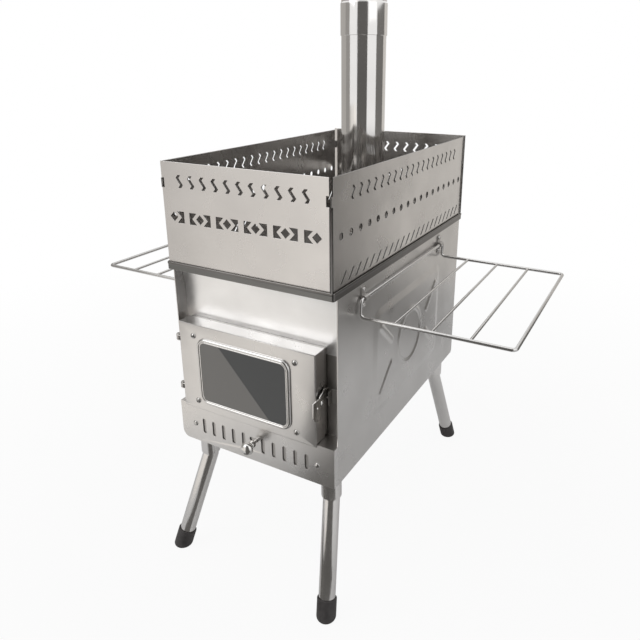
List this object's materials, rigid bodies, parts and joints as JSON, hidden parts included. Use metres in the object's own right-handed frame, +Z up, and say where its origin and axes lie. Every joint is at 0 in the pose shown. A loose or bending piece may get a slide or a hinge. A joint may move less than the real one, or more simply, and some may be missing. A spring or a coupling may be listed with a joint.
{
  "type": "camping wood stove",
  "caption": "Portable sheet-steel wood stove on splayed plug-in legs, with glass door, sliding air damper, folding wire shelves, cut-out windshield and sectional flue.",
  "frame": {"origin": "on the floor, at the middle of the box around the whole stove, midway between the four feet", "axes": "+X to the right as seen from the door side, +Y to the rear, +Z up along the flue"},
  "size_m": [0.564, 0.4454, 0.993],
  "materials": {
    "stainless_brushed": "brushed, fine level grain",
    "stainless_satin": "satin",
    "stainless_inner": "mill finish",
    "stainless_polished": "polished",
    "stainless_tube": "bright drawn",
    "wire": "bright",
    "fixings": "bright",
    "grate_steel": "heat darkened",
    "rubber_black": "matte",
    "dark_glass": "smoked heat-resistant",
    "rope_seal": "woven glass fibre"
  },
  "bodies": {
    "stove_body": {"side_panel_right": "stainless_satin", "side_panel_left": "stainless_satin", "bottom_pan": "stainless_inner", "rear_panel": "stainless_satin", "top_deck": "stainless_brushed", "front_hood": "stainless_brushed", "front_wall": "stainless_inner", "lower_front_panel": "stainless_brushed", "damper_rivets": "fixings", "hinge_loops": "stainless_inner", "latch_keeper": "stainless_inner", "leg_socket_front_left": "stainless_tube", "leg_socket_front_right": "stainless_tube", "leg_socket_rear_left": "stainless_tube", "leg_socket_rear_right": "stainless_tube", "socket_rivets": "fixings", "shelf_clips_right": "stainless_inner", "shelf_clips_left": "stainless_inner", "clip_rivets_right": "fixings", "clip_rivets_left": "fixings", "flue_collar": "stainless_polished", "collar_rivets": "fixings"},
    "damper": {"air_damper": "stainless_inner", "damper_knob": "fixings", "damper_nut": "fixings"},
    "door": {"door_shell": "stainless_brushed", "door_pan": "stainless_inner", "door_gasket": "rope_seal", "window_bezel": "stainless_polished", "window_glass": "dark_glass", "window_gasket": "rope_seal", "window_backing": "stainless_inner", "door_screws": "fixings", "door_nuts": "fixings", "hinge_brackets": "stainless_inner", "hinge_pins": "fixings", "latch_pivot": "stainless_polished"},
    "latch": {"latch_lever": "stainless_polished"},
    "right_shelf": {"shelf_right": "wire"},
    "left_shelf": {"shelf_left": "wire"},
    "windshield": {"shield_front": "stainless_brushed", "shield_rear": "stainless_satin", "shield_right": "stainless_satin", "shield_left": "stainless_satin"},
    "lower_flue": {"flue_lower": "stainless_polished"},
    "upper_flue": {"flue_upper": "stainless_polished"},
    "grate": {"fire_grate": "grate_steel"},
    "leg_front_left_set": {"leg_front_left": "stainless_tube", "foot_front_left": "rubber_black"},
    "leg_front_right_set": {"leg_front_right": "stainless_tube", "foot_front_right": "rubber_black"},
    "leg_rear_left_set": {"leg_rear_left": "stainless_tube", "foot_rear_left": "rubber_black"},
    "leg_rear_right_set": {"leg_rear_right": "stainless_tube", "foot_rear_right": "rubber_black"}
  },
  "joints": [
    {"name": "door_hinge", "type": "hinge", "parent": "stove_body", "child": "door", "pos_m": [-0.1067, -0.1902, 0.273], "axis": [0, 0, -1], "range_deg": [0, 120]},
    {"name": "latch_turn", "type": "hinge", "parent": "door", "child": "latch", "pos_m": [0.0906, -0.187, 0.27], "axis": [-1, 0, 0], "range_deg": [0, 30]},
    {"name": "damper_slide", "type": "slide", "parent": "stove_body", "child": "damper", "axis": [-1, 0, 0], "range_m": [0, 0.0075]},
    {"name": "right_shelf_fold", "type": "hinge", "parent": "stove_body", "child": "right_shelf", "pos_m": [0.1135, 0, 0.3765], "axis": [0, -1, 0], "range_deg": [0, 90]},
    {"name": "left_shelf_fold", "type": "hinge", "parent": "stove_body", "child": "left_shelf", "pos_m": [-0.1135, 0, 0.372], "axis": [0, 1, 0], "range_deg": [0, 90]},
    {"name": "windshield_lift", "type": "slide", "parent": "stove_body", "child": "windshield", "axis": [0, 0, 1], "range_m": [0, 0.12]},
    {"name": "lower_flue_lift", "type": "slide", "parent": "stove_body", "child": "lower_flue", "axis": [0, 0, 1], "range_m": [0, 0.045]},
    {"name": "upper_flue_lift", "type": "slide", "parent": "lower_flue", "child": "upper_flue", "axis": [0, 0, 1], "range_m": [0, 0.045]},
    {"name": "grate_lift", "type": "slide", "parent": "stove_body", "child": "grate", "axis": [0, 0, 1], "range_m": [0, 0.02]},
    {"name": "leg_front_left_pull", "type": "slide", "parent": "stove_body", "child": "leg_front_left_set", "axis": [0, 0, -1], "range_m": [0, 0.03]},
    {"name": "leg_front_right_pull", "type": "slide", "parent": "stove_body", "child": "leg_front_right_set", "axis": [0, 0, -1], "range_m": [0, 0.03]},
    {"name": "leg_rear_left_pull", "type": "slide", "parent": "stove_body", "child": "leg_rear_left_set", "axis": [0, 0, -1], "range_m": [0, 0.03]},
    {"name": "leg_rear_right_pull", "type": "slide", "parent": "stove_body", "child": "leg_rear_right_set", "axis": [0, 0, -1], "range_m": [0, 0.03]}
  ]
}
